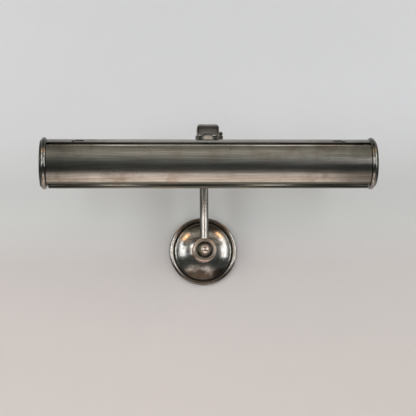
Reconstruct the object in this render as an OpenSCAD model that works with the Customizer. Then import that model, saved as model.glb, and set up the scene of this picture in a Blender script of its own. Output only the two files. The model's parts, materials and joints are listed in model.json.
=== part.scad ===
// Picture light: a tubular shade on a bent arm that rises from a round wall rose.
// The origin is the centre of the rose's back on the wall.
// +X is to the viewer's right, +Z is up, and the light stands out from the wall towards -Y.

/* [Shade] */
// Length of the shade over its end caps
shade_len = 354.5; // [300:0.5:450]
// Outside diameter of the shade tube
shade_dia = 50.8; // [46:0.1:56]
// Sheet thickness of the spine and the front shade
sheet_t = 1; // [0.8:0.1:1.4]
// Distance of the shade's axis from the wall
shade_reach = 114; // [110:1:135]
// Height of the shade's axis above the middle of the rose
shade_rise = 85; // [80:1:105]
// Angle from the top to the spine's front edge
spine_front = 38; // [30:1:45]
// Angle from the top to the spine's rear edge
spine_back = 70; // [65:1:80]
// Width of the vent gap between the spine and the front shade
vent_gap = 5.1; // [2:0.1:7]
// Angle from the top, round the front, to the front shade's lower edge
shade_lower = 164; // [150:1:200]
// Radius of the rolled lip on the front shade's top edge
lip_r = 1.2; // [0.8:0.1:2]
// How far the lip stands out of the sheet
roll_proud = 0.25; // [0.15:0.05:0.6]
// Radius of the wired hem on the front shade's lower edge
hem_r = 3; // [0.7:0.1:3.5]
// How far the hem stands out of the sheet
hem_proud = 2.6; // [0.3:0.1:3]
// How far the hem stops short of the tube's ends
hem_short = 1.6; // [0.5:0.1:5]

/* [Spine slots] */
// Distance of each tab slot's outer end from the end of the shade
slot_out = 37; // [33:0.1:60]
// Length of a tab slot along the shade
slot_len = 10; // [6:0.1:14]
// Width of a tab slot round the shade
slot_w = 3; // [2:0.1:4]
// Angle from the top to the middle of a tab slot
slot_angle = 29; // [20:1:30]

/* [End caps] */
// Length of an end cap outside the tube
cap_len = 8.7; // [6.6:0.1:12]
// Section radius of the bead round a cap
bead_r = 2.9; // [1.5:0.1:3]
// How far the bead stands out of the tube
bead_proud = 2; // [1:0.1:2.2]
// How far the cap's drum lies inside the bead's outer edge
drum_step = 2.6; // [1.5:0.1:4]
// Height of the cap's shallow dome
cap_dome = 1.5; // [0.5:0.1:2.5]
// Wall of the cap
cap_wall = 1.4; // [1:0.1:2]
// Length of the spigot inside the tube
spigot_len = 7; // [4:0.5:9]

/* [Knuckle] */
// Distance of the pivot from the shade's surface
pivot_stand = 7.7; // [7:0.1:10]
// Angle behind the top at which the pivot stands
pivot_lean = 29; // [20:1:35]
// Diameter of the pivot screw
pivot_dia = 4; // [3:0.1:5]
// Width of the hood over its cheeks
hood_w = 23; // [21:0.1:28]
// Plate thickness of the hood
hood_t = 1.8; // [1.2:0.1:2.5]
// Height of the hood above the pivot
hood_up = 14; // [13:0.1:18]
// Reach of the hood in front of the pivot
hood_front = 8; // [7:0.1:9]
// Distance of the hood's web behind the pivot
hood_back = 9.5; // [9:0.1:12]
// Radius of the hood's folded top corners
hood_fold = 3; // [2.6:0.1:4]
// Radius of the cheeks' lower ends round the pivot
cheek_r = 4.6; // [4:0.1:5.2]
// Angle below the pivot at which the cheeks' straight edges meet their round ends
cheek_angle = 20; // [10:1:30]
// Height of the web's lower edge above the pivot
web_lift = 5.5; // [4:0.1:7]
// Radius of the web's lobe round the arm
lobe_r = 7.2; // [6.5:0.1:7.4]
// Radius of the lug and of its domed top
lug_r = 6.8; // [6:0.1:7.2]
// Width of the lug over its flats
lug_w = 12; // [10:0.1:13]
// How far the dome's centre lies below the pivot
lug_drop = 1.2; // [0.5:0.1:1.5]
// Radius of the lug's foot on the spine
foot_r = 8.6; // [7.6:0.1:10]
// Thickness of the lug's foot
foot_t = 1.6; // [1:0.1:2]
// Radius of the head of the screw inside the lug
lug_head_r = 3.2; // [2.6:0.1:3.6]
// Radius of the spacer bushes
bush_r = 3.2; // [2.8:0.1:4]
// Radius of the pivot screw's head
head_r = 2.8; // [2.6:0.1:4]
// Thickness of the pivot screw's head
head_t = 1.3; // [0.8:0.1:2]

/* [Wing nut] */
// Length of the nut's hub along the pivot
nut_len = 4.4; // [3.5:0.1:6]
// Radius of the nut's hub
nut_r = 3; // [2.8:0.1:3.6]
// Width of a wing at its tip
wing_w = 4.2; // [3:0.1:5]
// Width of a wing at its waist
wing_waist = 2.6; // [2:0.1:3]
// Thickness of a wing
wing_t = 1.8; // [1.2:0.1:2.4]
// Clearance of the turning wings over the shade
wing_clear = 0.5; // [0.4:0.1:1.5]

/* [Arm] */
// Outside diameter of the arm tube
arm_dia = 9.6; // [8:0.1:11]
// Wall of the arm tube
arm_wall = 1; // [0.8:0.1:1.4]
// Distance of the upright part of the arm from the wall
arm_out = 26.5; // [25:0.5:30]
// Height of the arm's end above the pivot
arm_over_pivot = 9.4; // [9:0.1:10]
// Straight length of the arm at its upper end
arm_tail = 6; // [4:0.5:10]
// Height of the arm's lower end above the rose's axis
arm_foot = 6.2; // [6:0.1:9]
// How much thinner the tube is drawn round its bend
bend_thin = 0.03; // [0.01:0.01:0.2]
// Radius of the collar behind the hood
collar_r = 7; // [6:0.1:8]
// Length of the collar behind the hood
collar_len = 3.6; // [2:0.1:4]

/* [Rose and boss] */
// Diameter of the rose
rose_dia = 76; // [72:0.5:90]
// Diameter of the rose's dome inside its rim
dome_dia = 62; // [60:0.5:68]
// Height of the dome's edge
dome_edge = 3; // [2:0.1:4]
// Height of the dome's crown
dome_crown = 14.8; // [14:0.1:18]
// Wall of the rose
rose_wall = 1.2; // [0.8:0.1:1.6]
// Section radius of the bead on the rose's rim
rim_bead = 2.4; // [1.2:0.1:2.6]
// Section radius of the bead round the dome's edge
step_bead = 1.2; // [0.8:0.1:1.6]
// Height of the rim's flat step
rim_h = 2.2; // [1.5:0.1:3]
// Radius of the boss
boss_r = 13.4; // [12:0.1:15]
// Distance of the boss's front face from the wall
boss_front = 32; // [31.5:0.1:38]
// Section radius of the boss's rounded front edge
boss_round = 3; // [2:0.1:4]
// Radius of the ring groove in the boss's face
groove_ring = 8; // [7:0.1:9]
// Section radius of the ring groove
groove_r = 1.3; // [0.8:0.1:1.6]
// Radius of the ball finial
ball_r = 4.9; // [4:0.1:6]
// Radius of the finial's neck
neck_r = 3.2; // [2.8:0.1:3.6]
// Length of the finial's neck
neck_len = 1.4; // [1:0.1:3]
// Radius of the finial's threaded stem
stem_r = 2; // [1.5:0.1:2.5]
// Length of the finial's threaded stem
stem_len = 3; // [2.5:0.1:3.2]

/* [Wall fixing] */
// Radius of the back plate
plate_r = 29.4; // [28:0.1:29.6]
// Thickness of the back plate
plate_t = 1.6; // [1.2:0.1:2.5]
// Distance between the two wall screw holes
fix_spacing = 50; // [44:0.5:51]
// Diameter of a wall screw hole
fix_hole = 4.6; // [4:0.1:5.5]
// Outside diameter of the threaded nipple
nipple_dia = 10; // [9:0.1:10.4]
// Bore of the threaded nipple
nipple_bore = 7; // [5:0.1:7.4]
// Length of the threaded nipple
nipple_len = 21; // [19:0.1:21.4]
// Width of the lock nut across its flats
locknut_af = 14; // [13.5:0.1:16]
// Thickness of the lock nut
locknut_t = 3; // [2:0.1:4]

/* [Lamps] */
// Radius of a lampholder
holder_r = 11.5; // [10:0.1:13]
// Length of a lampholder outside its bracket
holder_len = 24; // [20:0.5:24]
// Thickness of a lampholder's flange
holder_flange = 2.4; // [1.5:0.1:4]
// Radius of a lampholder's flange
flange_r = 14; // [13.6:0.1:15]
// Radius of a lamp's screw cap
lamp_cap_r = 6.9; // [6:0.1:7.5]
// Length of a lamp's screw cap
lamp_cap_len = 20; // [16:0.5:20]
// Radius of the contact at the end of a lamp's cap
contact_r = 2.8; // [2:0.1:3.5]
// Radius of a lamp's glass
glass_r = 12.5; // [10:0.1:14]
// Length of a lamp's glass
glass_len = 64; // [50:1:80]
// Wall of a lamp's glass
glass_wall = 1; // [0.6:0.1:1.4]
// Thickness of a lamp bracket
bracket_t = 1.2; // [0.8:0.1:1.6]
// Radius of a bracket's ring
bracket_r = 15.5; // [15:0.1:17]

/* [Wiring] */
// Radius of the flex inside the arm
flex_r = 3.2; // [2:0.1:3.4]
// Radius of a lead inside the shade
lead_r = 1.5; // [1:0.1:2]
// Angle behind the top at which the leads run
lead_angle = 52; // [48:1:56]
// Length of the shade's terminal block
block_len = 20; // [14:0.5:24]
// Width of a terminal block
block_w = 8; // [6:0.1:9]
// Depth of a terminal block
block_h = 8; // [6:0.1:8.2]
// Distance of the cable inlet above the middle of the back plate
inlet_up = 19; // [16:0.5:21]
// Distance of the supply terminal below the middle of the back plate
supply_down = 14.6; // [13:0.1:15]
// Radius of the cable hole in the grommets
grommet_bore = 3; // [2:0.1:3.4]
// Outside radius of the grommets
grommet_r = 5.4; // [5:0.1:6]
// Thickness of a grommet's lip
grommet_lip = 1.5; // [1:0.1:2]
// Distance of the shade's inlet from the middle of the shade
spine_inlet = 17; // [16.5:0.5:30]
// Distance of the earth screw from the middle of the back plate
earth_out = 17; // [15:0.1:18]
// Radius of the earth screw's head
earth_r = 3; // [2:0.1:3.4]
// Angle from the horizontal at which the earth screw stands
earth_angle = 45; // [30:1:60]

/* [Fits] */
// Radial clearance of threads, spigots and running pins
fit = 0.05; // [0.02:0.01:0.08]
// Gap between pieces that are seated on curved faces
seat = 0.05; // [0.02:0.01:0.2]
// End play on each side of the lug and the wing nut
play = 0.15; // [0.1:0.05:0.3]

/* [Hidden] */
$fn = 96;
over = 1;
shade_r = shade_dia / 2;
tube_in = shade_r - sheet_t;
half_len = shade_len / 2;
bead_at = half_len - cap_len + bead_r;
tube_half = bead_at - bead_r - seat;
vent_angle = vent_gap / shade_r * 180 / PI;
shade_upper = spine_front + vent_angle;
bead_ring = shade_r + bead_proud - bead_r;
drum_r = shade_r + bead_proud - drum_step;

pivot_r = pivot_dia / 2;
pivot_dist = shade_r + pivot_stand;
pivot_y = -shade_reach + pivot_dist * sin(pivot_lean);
pivot_z = shade_rise + pivot_dist * cos(pivot_lean);
cheek_in = hood_w / 2 - hood_t;
nut_at = hood_w / 2 + play;
wing_reach = pivot_stand - wing_clear;

arm_r = arm_dia / 2;
arm_bore = arm_r - arm_wall;
arm_top = pivot_z + arm_over_pivot;
web_y = pivot_y + hood_back;
arm_end = web_y + hood_t + seat;
bend_r = -web_y - arm_tail - arm_out;
bend_z = arm_top - bend_r;

rose_r = rose_dia / 2;
dome_r = dome_dia / 2;
dome_rise = dome_crown - dome_edge;
dome_sphere = (dome_r * dome_r + dome_rise * dome_rise) / (2 * dome_rise);
dome_centre = dome_crown - dome_sphere;
nipple_r = nipple_dia / 2;
chamber_end = boss_front - stem_len - fit - over / 2;
ball_at = boss_front + neck_len + sqrt(ball_r * ball_r - neck_r * neck_r);

slot_end = half_len - slot_out;
bracket_at = slot_end - seat - bracket_t;
holder_from = bracket_at - holder_flange;
holder_end = bracket_at + bracket_t + holder_len;
lead_rad = tube_in - seat - lead_r - over;
lead_drop_at = bracket_at + bracket_t + holder_len / 2;
lead_start = block_len / 2 + seat;

brass_nickel = [0.55, 0.53, 0.50];
dark_nickel = [0.40, 0.38, 0.35];
steel = [0.62, 0.63, 0.65];
black_rubber = [0.08, 0.08, 0.08];
ivory = [0.85, 0.82, 0.74];
opal = [0.95, 0.94, 0.90];
brass = [0.72, 0.58, 0.32];

// Turns a shape that stands on the wall plane so that its +Z points out of the wall.
module from_wall() {
    rotate([90, 0, 0]) children();
}

// Places a shape drawn along +Z along +X, from the middle of the shade's axis.
module on_shade_axis() {
    translate([0, -shade_reach, shade_rise]) rotate([0, 90, 0]) children();
}

// Places a shape at an angle round the shade, with its +Z pointing out from the axis.
module round_shade(angle) {
    translate([0, -shade_reach, shade_rise]) rotate([angle, 0, 0]) children();
}

// Places a shape drawn along +Z on the pivot, along +X.
module on_pivot() {
    translate([0, pivot_y, pivot_z]) rotate([0, 90, 0]) children();
}

// Mirrors a right-hand piece to the left-hand end.
module left_hand() {
    mirror([1, 0, 0]) children();
}

// A ring of round section about Z.
module torus(ring, section) {
    rotate_extrude() translate([ring, 0]) circle(section);
}

// A plain tube along Z.
module tube(outer, inner, h) {
    difference() {
        cylinder(r = outer, h = h);
        translate([0, 0, -over]) cylinder(r = inner, h = h + 2 * over);
    }
}

// A strip of the shade tube between two angles, which count from the top towards the front.
module curved_sheet(from, to) {
    on_shade_axis() rotate(180 + from)
        rotate_extrude(angle = to - from)
            translate([tube_in, -tube_half]) square([sheet_t, 2 * tube_half]);
}

// A rolled edge along the shade at one angle, proud of the outside of the sheet.
module rolled_edge(angle, section, proud, half) {
    round_shade(angle)
        translate([-half, 0, shade_r + proud - section])
            rotate([0, 90, 0]) cylinder(r = section, h = 2 * half);
}

module back_plate() {
    color(steel) from_wall() difference() {
        cylinder(r = plate_r, h = plate_t);
        translate([0, 0, -over]) cylinder(r = nipple_r + fit, h = plate_t + 2 * over);
        for (side = [-1, 1])
            translate([side * fix_spacing / 2, 0, -over])
                cylinder(r = fix_hole / 2, h = plate_t + 2 * over);
        translate([0, inlet_up, -over]) cylinder(r = grommet_r - grommet_lip, h = plate_t + 2 * over);
        rotate(earth_angle) translate([earth_out, 0, -over])
            cylinder(r = earth_r / 2 + fit, h = plate_t + 2 * over);
    }
}

module nipple() {
    color(steel) from_wall() tube(nipple_r, nipple_bore / 2, nipple_len);
}

module nipple_nut() {
    color(steel) from_wall() translate([0, 0, plate_t]) difference() {
        cylinder(r = locknut_af / 2 / cos(30), h = locknut_t, $fn = 6);
        translate([0, 0, -over]) cylinder(r = nipple_r + fit, h = locknut_t + 2 * over);
    }
}

// The grommet's neck fills the plate's hole and its lip lies on the inner face.
module cable_grommet() {
    color(black_rubber) from_wall() translate([0, inlet_up, 0]) difference() {
        union() {
            cylinder(r = grommet_r - grommet_lip - fit, h = plate_t + grommet_lip);
            translate([0, 0, plate_t]) cylinder(r = grommet_r, h = grommet_lip);
        }
        translate([0, 0, -over]) cylinder(r = grommet_bore, h = plate_t + grommet_lip + 2 * over);
    }
}

module supply_terminal() {
    ways = 3;
    pitch = block_len / ways;
    color(ivory) from_wall()
        translate([-block_len / 2, -supply_down - block_w / 2, plate_t]) difference() {
            cube([block_len, block_w, block_h - plate_t]);
            for (way = [0 : ways - 1])
                translate([(way + 0.5) * pitch, block_w / 2, (block_h - plate_t) / 2])
                    cylinder(r = pitch / 4, h = block_h);
        }
}

module earth_screw() {
    color(brass) from_wall() rotate(earth_angle) translate([earth_out, 0, 0]) {
        cylinder(r = earth_r / 2, h = plate_t + over);
        translate([0, 0, plate_t]) cylinder(r = earth_r, h = earth_r / 2);
    }
}

module rose() {
    color(brass_nickel) from_wall() difference() {
        union() {
            intersection() {
                translate([0, 0, dome_centre]) sphere(dome_sphere);
                cylinder(r = dome_r, h = dome_crown + over);
            }
            cylinder(r = rose_r - rim_bead / 2, h = rim_h);
            translate([0, 0, rim_bead]) torus(rose_r - rim_bead, rim_bead);
            translate([0, 0, dome_edge - rim_bead / 2]) torus(dome_r, step_bead);
        }
        intersection() {
            translate([0, 0, dome_centre]) sphere(dome_sphere - rose_wall);
            translate([0, 0, -over]) cylinder(r = dome_r - rose_wall, h = dome_crown + over);
        }
        translate([0, 0, -over]) cylinder(r = nipple_r + fit, h = dome_crown + 2 * over);
    }
}

module boss() {
    color(brass_nickel) difference() {
        from_wall() difference() {
            union() {
                cylinder(r = boss_r, h = boss_front - boss_round);
                cylinder(r = boss_r - boss_round, h = boss_front);
                translate([0, 0, boss_front - boss_round]) torus(boss_r - boss_round, boss_round);
            }
            translate([0, 0, dome_centre]) sphere(dome_sphere + seat);
            cylinder(r = nipple_r + fit, h = nipple_len + fit);
            cylinder(r = nipple_bore / 2, h = chamber_end);
            translate([0, 0, boss_front - stem_len - fit]) cylinder(r = stem_r + fit, h = stem_len + over);
            translate([0, 0, boss_front]) torus(groove_ring, groove_r);
        }
        translate([0, -arm_out, 0]) cylinder(r = arm_bore, h = boss_r);
        translate([0, -arm_out, arm_foot - fit]) cylinder(r = arm_r + fit, h = boss_r);
    }
}

module ball_finial() {
    color(brass_nickel) from_wall() {
        translate([0, 0, boss_front - stem_len]) cylinder(r = stem_r, h = stem_len + neck_len);
        translate([0, 0, boss_front]) cylinder(r = neck_r, h = ball_at - boss_front);
        translate([0, 0, ball_at]) sphere(ball_r);
    }
}

// The path of the arm with a round section: upright, quarter bend, then level to the hood.
// The section is drawn a little thinner round the bend.
module along_arm(section, foot, end_y) {
    translate([0, -arm_out, foot]) cylinder(r = section, h = bend_z - foot);
    translate([0, -arm_out - bend_r, bend_z]) rotate([90, 0, 90])
        rotate_extrude(angle = 90) translate([bend_r, 0]) circle(section - bend_thin);
    translate([0, -arm_out - bend_r, arm_top]) rotate([90, 0, 0])
        cylinder(r = section, h = -arm_out - bend_r - end_y);
}

module arm_tube() {
    color(brass_nickel) difference() {
        along_arm(arm_r, arm_foot, arm_end);
        along_arm(arm_bore, arm_foot - over, arm_end - over);
    }
}

module arm_collar() {
    color(brass_nickel) translate([0, web_y + hood_t + collar_len, arm_top]) rotate([90, 0, 0])
        tube(collar_r, arm_r + fit, collar_len);
}

module arm_flex() {
    color(black_rubber) along_arm(flex_r, arm_foot, arm_end);
}

// One cheek's outline in the plane of the tilt: a round lower end under a square plate.
module cheek_outline() {
    circle(cheek_r);
    polygon([
        [-hood_front, web_lift],
        [-cheek_r * cos(cheek_angle), -cheek_r * sin(cheek_angle)],
        [cheek_r * cos(cheek_angle), -cheek_r * sin(cheek_angle)],
        [hood_back + hood_t, web_lift]
    ]);
    translate([-hood_front, web_lift - over / 2])
        square([hood_front + hood_back + hood_t, hood_up - web_lift + over / 2]);
}

// Inverted channel of plate: two cheeks, a folded top and a rear web with a lobe that the arm meets.
module knuckle_hood() {
    color(dark_nickel) translate([0, pivot_y, pivot_z]) difference() {
        intersection() {
            rotate([90, 0, 90]) translate([0, 0, -hood_w / 2]) linear_extrude(hood_w) cheek_outline();
            union() {
                translate([-hood_w / 2, -hood_front, -cheek_r])
                    cube([hood_w, hood_front + hood_back + hood_t, hood_up - hood_fold + cheek_r]);
                translate([-hood_w / 2 + hood_fold, -hood_front, -cheek_r])
                    cube([hood_w - 2 * hood_fold, hood_front + hood_back + hood_t, hood_up + cheek_r]);
                for (side = [-1, 1])
                    translate([side * (hood_w / 2 - hood_fold), -hood_front, hood_up - hood_fold])
                        rotate([-90, 0, 0])
                            cylinder(r = hood_fold, h = hood_front + hood_back + hood_t);
            }
        }
        // room inside the channel, open at the front and below
        translate([-cheek_in, -hood_front - over, -cheek_r - over])
            cube([2 * cheek_in, hood_front + hood_back + over, hood_up - hood_t + cheek_r + over]);
        // the web is cut away on both sides of its lobe
        translate([0, hood_back - over, 0]) difference() {
            translate([-cheek_in, 0, -cheek_r - over])
                cube([2 * cheek_in, hood_t + 2 * over, web_lift + cheek_r + over]);
            translate([0, -over, arm_over_pivot]) rotate([-90, 0, 0])
                cylinder(r = lobe_r, h = hood_t + 4 * over);
        }
        translate([-hood_w, 0, 0]) rotate([0, 90, 0]) cylinder(r = pivot_r + fit, h = 2 * hood_w);
    }
}

module pivot_screw() {
    color(dark_nickel) on_pivot() {
        translate([0, 0, -hood_w / 2]) cylinder(r = pivot_r, h = nut_at + nut_len - over / 2 + hood_w / 2);
        translate([0, 0, -hood_w / 2 - head_t]) cylinder(r = head_r, h = head_t);
    }
}

module knuckle_bushes() {
    bush_len = cheek_in - lug_w / 2 - play;
    color(dark_nickel) on_pivot() for (from = [-cheek_in, cheek_in - bush_len])
        translate([0, 0, from]) tube(bush_r, pivot_r + fit, bush_len);
}

module wing_nut() {
    wing_at = nut_at + nut_len - wing_w / 2;
    tip_r = wing_w / 2;
    color(dark_nickel) difference() {
        union() {
            on_pivot() translate([0, 0, nut_at]) cylinder(r = nut_r, h = nut_len);
            for (turn = [0, 180])
                translate([wing_at, pivot_y, pivot_z]) rotate([turn, 0, 0]) {
                    translate([0, wing_t / 2, wing_reach - tip_r]) rotate([90, 0, 0])
                        cylinder(r = tip_r, h = wing_t);
                    translate([-wing_waist / 2, -wing_t / 2, 0])
                        cube([wing_waist, wing_t, wing_reach - tip_r]);
                }
        }
        on_pivot() cylinder(r = pivot_r + fit, h = nut_at + nut_len + over);
    }
}

// Domed post on the spine, flat on both sides, cross-drilled for the pivot screw.
module knuckle_lug() {
    color(brass_nickel) difference() {
        union() {
            intersection() {
                round_shade(-pivot_lean) {
                    cylinder(r = lug_r, h = pivot_dist - lug_drop);
                    translate([0, 0, pivot_dist - lug_drop]) sphere(lug_r);
                }
                translate([-lug_w / 2, -2 * shade_reach, 0])
                    cube([lug_w, 2 * shade_reach, 2 * (shade_rise + pivot_dist)]);
            }
            round_shade(-pivot_lean) cylinder(r = foot_r, h = shade_r + foot_t);
        }
        on_shade_axis() translate([0, 0, -shade_r]) cylinder(r = shade_r + seat, h = 2 * shade_r);
        on_pivot() translate([0, 0, -lug_w]) cylinder(r = pivot_r + fit, h = 2 * lug_w);
        round_shade(-pivot_lean) cylinder(r = pivot_r / 2 + fit, h = pivot_dist - pivot_r - over);
    }
}

module lug_screw() {
    head_in = tube_in - pivot_r;
    color(steel) round_shade(-pivot_lean) {
        translate([0, 0, head_in]) cylinder(r = pivot_r / 2, h = pivot_dist - pivot_r - 2 * over - head_in);
        intersection() {
            translate([0, 0, head_in - over]) cylinder(r = lug_head_r, h = pivot_r + over);
            translate([-shade_r, 0, 0]) rotate([0, 90, 0]) cylinder(r = tube_in - seat, h = 2 * shade_r);
        }
    }
}

module shade_spine() {
    slot_mid = slot_end - slot_len / 2;
    color(brass_nickel) difference() {
        curved_sheet(-spine_back, spine_front);
        for (side = [-1, 1])
            round_shade(slot_angle) translate([side * slot_mid - slot_len / 2, -slot_w / 2, tube_in - over])
                cube([slot_len, slot_w, sheet_t + 2 * over]);
        round_shade(-pivot_lean) cylinder(r = pivot_r / 2 + fit, h = shade_r + over);
        round_shade(-lead_angle) translate([spine_inlet, 0, 0])
            cylinder(r = grommet_r - grommet_lip, h = shade_r + over);
    }
}

module front_shade() {
    color(brass_nickel) {
        curved_sheet(shade_upper, shade_lower);
        rolled_edge(shade_upper, lip_r, roll_proud, tube_half);
        rolled_edge(shade_lower, hem_r, hem_proud, tube_half - hem_short);
    }
}

// The right-hand cap: a spigot in the tube, a bead against its end, and a drum with a domed face.
module end_cap() {
    dome_sphere_r = (drum_r * drum_r + cap_dome * cap_dome) / (2 * cap_dome);
    spigot_r = tube_in - fit;
    spigot_from = bead_at - bead_r - spigot_len;
    on_shade_axis() difference() {
        union() {
            translate([0, 0, bead_at]) torus(bead_ring, bead_r);
            translate([0, 0, spigot_from]) cylinder(r = spigot_r, h = spigot_len + bead_r + over);
            intersection() {
                translate([0, 0, bead_at]) cylinder(r = drum_r, h = cap_len);
                translate([0, 0, half_len - dome_sphere_r]) sphere(dome_sphere_r, $fn = 360);
            }
        }
        translate([0, 0, spigot_from - over])
            cylinder(r = spigot_r - cap_wall, h = half_len - cap_dome - cap_wall - spigot_from + over);
        // slots in the spigot that let the front shade's rolled edges pass
        for (edge = [[shade_upper, lip_r], [shade_lower, hem_r]])
            rotate(180 + edge[0]) translate([0, -edge[1] - fit, spigot_from - over])
                cube([shade_r, 2 * (edge[1] + fit), spigot_len + over - seat / 2]);
    }
}

module end_cap_left() {
    color(brass_nickel) left_hand() end_cap();
}

module end_cap_right() {
    color(brass_nickel) end_cap();
}

// The grommet's neck fills the spine's hole and its lip lies outside, on the curved face.
module spine_grommet() {
    color(black_rubber) round_shade(-lead_angle) translate([spine_inlet, 0, 0]) difference() {
        union() {
            cylinder(r = grommet_r - grommet_lip - fit, h = shade_r + grommet_lip);
            difference() {
                cylinder(r = grommet_r, h = shade_r + grommet_lip);
                translate([-shade_r, 0, 0]) rotate([0, 90, 0]) cylinder(r = shade_r + seat, h = 2 * shade_r);
            }
        }
        cylinder(r = grommet_bore, h = shade_r + grommet_lip + over);
        translate([-shade_r, 0, 0]) rotate([0, 90, 0]) cylinder(r = tube_in, h = 2 * shade_r);
    }
}

module shade_terminal() {
    ways = 2;
    pitch = block_len / ways;
    color(ivory) round_shade(-lead_angle) difference() {
        intersection() {
            translate([-block_len / 2, -block_w / 2, tube_in - block_h]) cube([block_len, block_w, block_h]);
            translate([-shade_r, 0, 0]) rotate([0, 90, 0]) cylinder(r = tube_in - seat, h = 2 * shade_r);
        }
        for (way = [0 : ways - 1])
            translate([-block_len / 2 + (way + 0.5) * pitch, 0, tube_in - block_h - over])
                cylinder(r = block_w / 4, h = block_h / 2);
    }
}

// The right-hand lead: along the spine from the terminal block, then in to the lampholder.
module lead() {
    round_shade(-lead_angle) {
        translate([lead_start, 0, lead_rad]) rotate([0, 90, 0])
            cylinder(r = lead_r, h = lead_drop_at - lead_start);
        translate([lead_drop_at, 0, lead_rad]) sphere(lead_r);
        translate([lead_drop_at, 0, holder_r + seat])
            cylinder(r = lead_r, h = lead_rad - holder_r - seat);
    }
}

module lead_left() {
    color(ivory) left_hand() lead();
}

module lead_right() {
    color(ivory) lead();
}

// The right-hand bracket: a ring for the lampholder and a stem whose tab is bent over outside.
module bracket() {
    stem_w = slot_w - 2 * fit;
    tab_len = 3 * bracket_t;
    difference() {
        union() {
            on_shade_axis() translate([0, 0, bracket_at]) cylinder(r = bracket_r, h = bracket_t);
            round_shade(slot_angle) {
                translate([bracket_at, -stem_w / 2, 0])
                    cube([bracket_t, stem_w, shade_r + sheet_t]);
                translate([bracket_at, -stem_w / 2, shade_r + seat])
                    cube([tab_len, stem_w, sheet_t - seat]);
            }
        }
        on_shade_axis() translate([0, 0, bracket_at - over])
            cylinder(r = holder_r + fit, h = bracket_t + 2 * over);
    }
}

module bracket_left() {
    color(steel) left_hand() bracket();
}

module bracket_right() {
    color(steel) bracket();
}

// The right-hand lampholder: a body outside the bracket and a flange against its inner face.
module holder() {
    on_shade_axis() translate([0, 0, holder_from]) difference() {
        union() {
            cylinder(r = flange_r, h = holder_flange);
            cylinder(r = holder_r, h = holder_end - holder_from);
        }
        translate([0, 0, -over]) cylinder(r = lamp_cap_r + fit, h = lamp_cap_len + over + fit);
    }
}

module holder_left() {
    color(ivory) left_hand() holder();
}

module holder_right() {
    color(ivory) holder();
}

// The right-hand lamp's screw cap, filled, with a contact at its outer end.
module lamp_cap() {
    on_shade_axis() translate([0, 0, holder_from]) {
        cylinder(r = lamp_cap_r, h = lamp_cap_len - over);
        cylinder(r = contact_r, h = lamp_cap_len);
    }
}

module lamp_cap_left() {
    color(brass) left_hand() lamp_cap();
}

module lamp_cap_right() {
    color(brass) lamp_cap();
}

// The right-hand lamp's tubular glass, round at its inner end and open at its cap.
module lamp_glass() {
    mouth = holder_from - seat;
    on_shade_axis() difference() {
        union() {
            translate([0, 0, mouth - glass_len + glass_r]) cylinder(r = glass_r, h = glass_len - glass_r);
            translate([0, 0, mouth - glass_len + glass_r]) sphere(glass_r);
        }
        translate([0, 0, mouth - glass_len + glass_r])
            cylinder(r = glass_r - glass_wall, h = glass_len - glass_r - glass_wall);
        translate([0, 0, mouth - glass_len + glass_r]) sphere(glass_r - glass_wall);
        translate([0, 0, mouth - 2 * glass_wall]) cylinder(r = lamp_cap_r - glass_wall, h = 3 * glass_wall);
    }
}

module lamp_glass_left() {
    color(opal) left_hand() lamp_glass();
}

module lamp_glass_right() {
    color(opal) lamp_glass();
}

back_plate();
nipple();
nipple_nut();
cable_grommet();
supply_terminal();
earth_screw();
rose();
boss();
ball_finial();
arm_tube();
arm_collar();
arm_flex();
knuckle_hood();
pivot_screw();
knuckle_bushes();
wing_nut();
knuckle_lug();
lug_screw();
shade_spine();
front_shade();
end_cap_left();
end_cap_right();
spine_grommet();
shade_terminal();
lead_left();
lead_right();
bracket_left();
bracket_right();
holder_left();
holder_right();
lamp_cap_left();
lamp_cap_right();
lamp_glass_left();
lamp_glass_right();
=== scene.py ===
"""Picture light: the looks of a tubular aged-nickel shade on a bent arm and a dished wall rose.

Metres, in the frame of the CAD model: the wall is the plane y = 0, and the light stands out
towards -Y.
"""

import json
import math
from collections import namedtuple

import bmesh
import bpy
from mathutils import Euler, Matrix, Vector


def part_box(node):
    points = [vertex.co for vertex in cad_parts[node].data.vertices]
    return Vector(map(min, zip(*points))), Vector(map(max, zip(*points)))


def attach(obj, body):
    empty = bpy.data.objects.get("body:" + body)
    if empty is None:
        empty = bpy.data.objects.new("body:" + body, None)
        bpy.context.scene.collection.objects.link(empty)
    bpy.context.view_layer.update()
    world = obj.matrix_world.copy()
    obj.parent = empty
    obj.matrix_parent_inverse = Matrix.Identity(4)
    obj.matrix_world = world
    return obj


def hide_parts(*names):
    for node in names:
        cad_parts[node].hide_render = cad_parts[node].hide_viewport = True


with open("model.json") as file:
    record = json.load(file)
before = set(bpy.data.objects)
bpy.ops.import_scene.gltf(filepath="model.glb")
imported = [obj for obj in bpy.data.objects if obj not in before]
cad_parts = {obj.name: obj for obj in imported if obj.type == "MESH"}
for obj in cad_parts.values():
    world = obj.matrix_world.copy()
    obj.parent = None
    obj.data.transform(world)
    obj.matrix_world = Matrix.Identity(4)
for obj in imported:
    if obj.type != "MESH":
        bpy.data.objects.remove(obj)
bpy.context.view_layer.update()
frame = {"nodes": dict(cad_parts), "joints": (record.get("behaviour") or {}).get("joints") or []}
nodes = frame["nodes"]
MM = 0.001


# Sizes that come from the frame

cap_low, cap_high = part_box("end_cap_right")
cap_mid = (cap_low + cap_high) / 2
spine_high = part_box("shade_spine")[1]
rose_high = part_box("rose")[1]
boss_low, boss_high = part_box("boss")
ball_low, ball_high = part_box("ball_finial")
arm_low, arm_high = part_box("arm_tube")
tilt = next(joint for joint in frame["joints"] if joint["name"] == "shade_tilt")

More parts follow.
